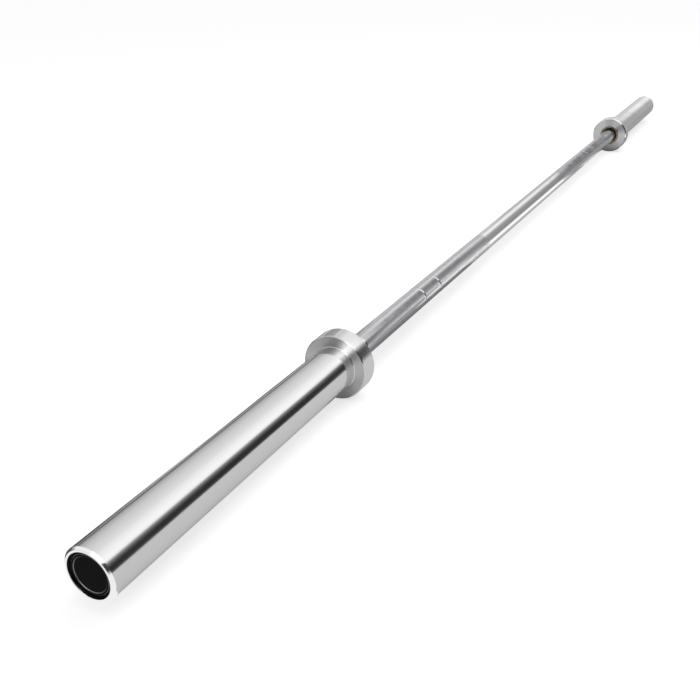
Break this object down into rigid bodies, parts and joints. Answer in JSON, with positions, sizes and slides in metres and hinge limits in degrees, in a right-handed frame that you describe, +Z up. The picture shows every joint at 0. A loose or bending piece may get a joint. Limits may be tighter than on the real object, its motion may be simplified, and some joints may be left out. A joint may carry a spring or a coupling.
{
  "type": "olympic barbell",
  "caption": "Long chrome weightlifting bar with a knurled shaft and, at each end, a thick sleeve with a flange collar that spins on needle bearings.",
  "frame": {"origin": "centre of the bar, on its axis, halfway between the two collars", "axes": "+X along the bar towards the right sleeve, which is the near one in the picture; +Z up"},
  "size_m": [2.134, 0.075, 0.075],
  "materials": {
    "shaft": "satin hard chrome, knurled",
    "sleeve": "polished hard chrome",
    "collar": "turned faces, polished rim",
    "bush": "turned bronze",
    "washer": "ground",
    "bearing_ring": "ground",
    "cage": "dark oiled steel",
    "needles": "polished",
    "retaining_ring": "black phosphated spring steel",
    "seal": "black nitrile rubber",
    "end_cap": "gloss black"
  },
  "bodies": {
    "shaft": {"shaft": "shaft", "inner_thrust_washer_left": "washer", "outer_thrust_washer_left": "washer", "retaining_ring_left": "retaining_ring", "inner_thrust_washer_right": "washer", "outer_thrust_washer_right": "washer", "retaining_ring_right": "retaining_ring"},
    "sleeve_left": {"sleeve_left": "sleeve", "collar_left": "collar", "collar_bush_left": "bush", "inner_bearing_ring_left": "bearing_ring", "outer_bearing_ring_left": "bearing_ring", "end_cap_left": "end_cap", "cap_seal_left": "seal"},
    "inner_cage_left": {"inner_bearing_cage_left": "cage", "inner_bearing_needles_left": "needles"},
    "outer_cage_left": {"outer_bearing_cage_left": "cage", "outer_bearing_needles_left": "needles"},
    "sleeve_right": {"sleeve_right": "sleeve", "collar_right": "collar", "collar_bush_right": "bush", "inner_bearing_ring_right": "bearing_ring", "outer_bearing_ring_right": "bearing_ring", "end_cap_right": "end_cap", "cap_seal_right": "seal"},
    "inner_cage_right": {"inner_bearing_cage_right": "cage", "inner_bearing_needles_right": "needles"},
    "outer_cage_right": {"outer_bearing_cage_right": "cage", "outer_bearing_needles_right": "needles"}
  },
  "joints": [
    {"name": "sleeve_left_spin", "type": "hinge", "parent": "shaft", "child": "sleeve_left", "pos_m": [-0.861, 0, 0], "axis": [1, 0, 0], "continuous": true},
    {"name": "inner_cage_left_spin", "type": "hinge", "parent": "shaft", "child": "inner_cage_left", "pos_m": [-0.6941, 0, 0], "axis": [1, 0, 0], "continuous": true},
    {"name": "outer_cage_left_spin", "type": "hinge", "parent": "shaft", "child": "outer_cage_left", "pos_m": [-1.015, 0, 0], "axis": [1, 0, 0], "continuous": true},
    {"name": "sleeve_right_spin", "type": "hinge", "parent": "shaft", "child": "sleeve_right", "pos_m": [0.861, 0, 0], "axis": [1, 0, 0], "continuous": true},
    {"name": "inner_cage_right_spin", "type": "hinge", "parent": "shaft", "child": "inner_cage_right", "pos_m": [0.6941, 0, 0], "axis": [1, 0, 0], "continuous": true},
    {"name": "outer_cage_right_spin", "type": "hinge", "parent": "shaft", "child": "outer_cage_right", "pos_m": [1.015, 0, 0], "axis": [1, 0, 0], "continuous": true}
  ],
  "couplings": [
    {"joint": "inner_cage_left_spin", "follows": "sleeve_left_spin", "ratio": 0.5471},
    {"joint": "outer_cage_left_spin", "follows": "sleeve_left_spin", "ratio": 0.5471},
    {"joint": "inner_cage_right_spin", "follows": "sleeve_right_spin", "ratio": 0.5471},
    {"joint": "outer_cage_right_spin", "follows": "sleeve_right_spin", "ratio": 0.5471}
  ]
}
